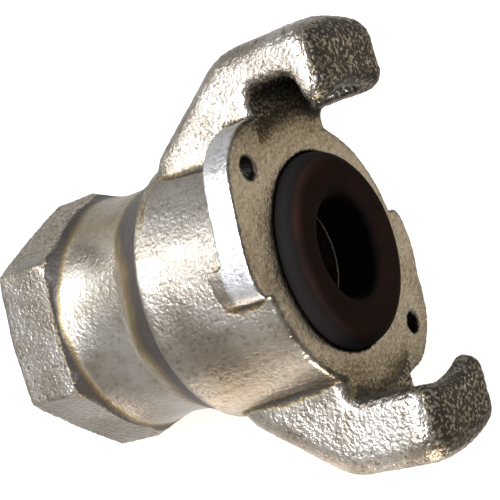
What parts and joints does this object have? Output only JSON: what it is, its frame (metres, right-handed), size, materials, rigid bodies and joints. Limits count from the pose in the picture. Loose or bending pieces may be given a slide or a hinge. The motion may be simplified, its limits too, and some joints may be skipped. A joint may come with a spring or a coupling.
{
  "type": "claw hose coupling",
  "caption": "Quarter-turn claw coupling half for compressed-air hose, with a hexagonal female pipe thread end, hooked claws, locking ears and a rubber face washer.",
  "frame": {"origin": "centre of the hexagonal end face", "axes": "+Z along the pipe axis from the hexagonal end to the claws; +Y through one claw; +X square to a flat of the hexagon"},
  "size_m": [0.0494, 0.0704, 0.068],
  "materials": {
    "plated_iron": "bright zinc plating over a rough malleable iron casting",
    "washer_rubber": "matt moulded rubber"
  },
  "bodies": {
    "root": {"coupling_body": "plated_iron", "sealing_washer": "washer_rubber"}
  },
  "joints": []
}
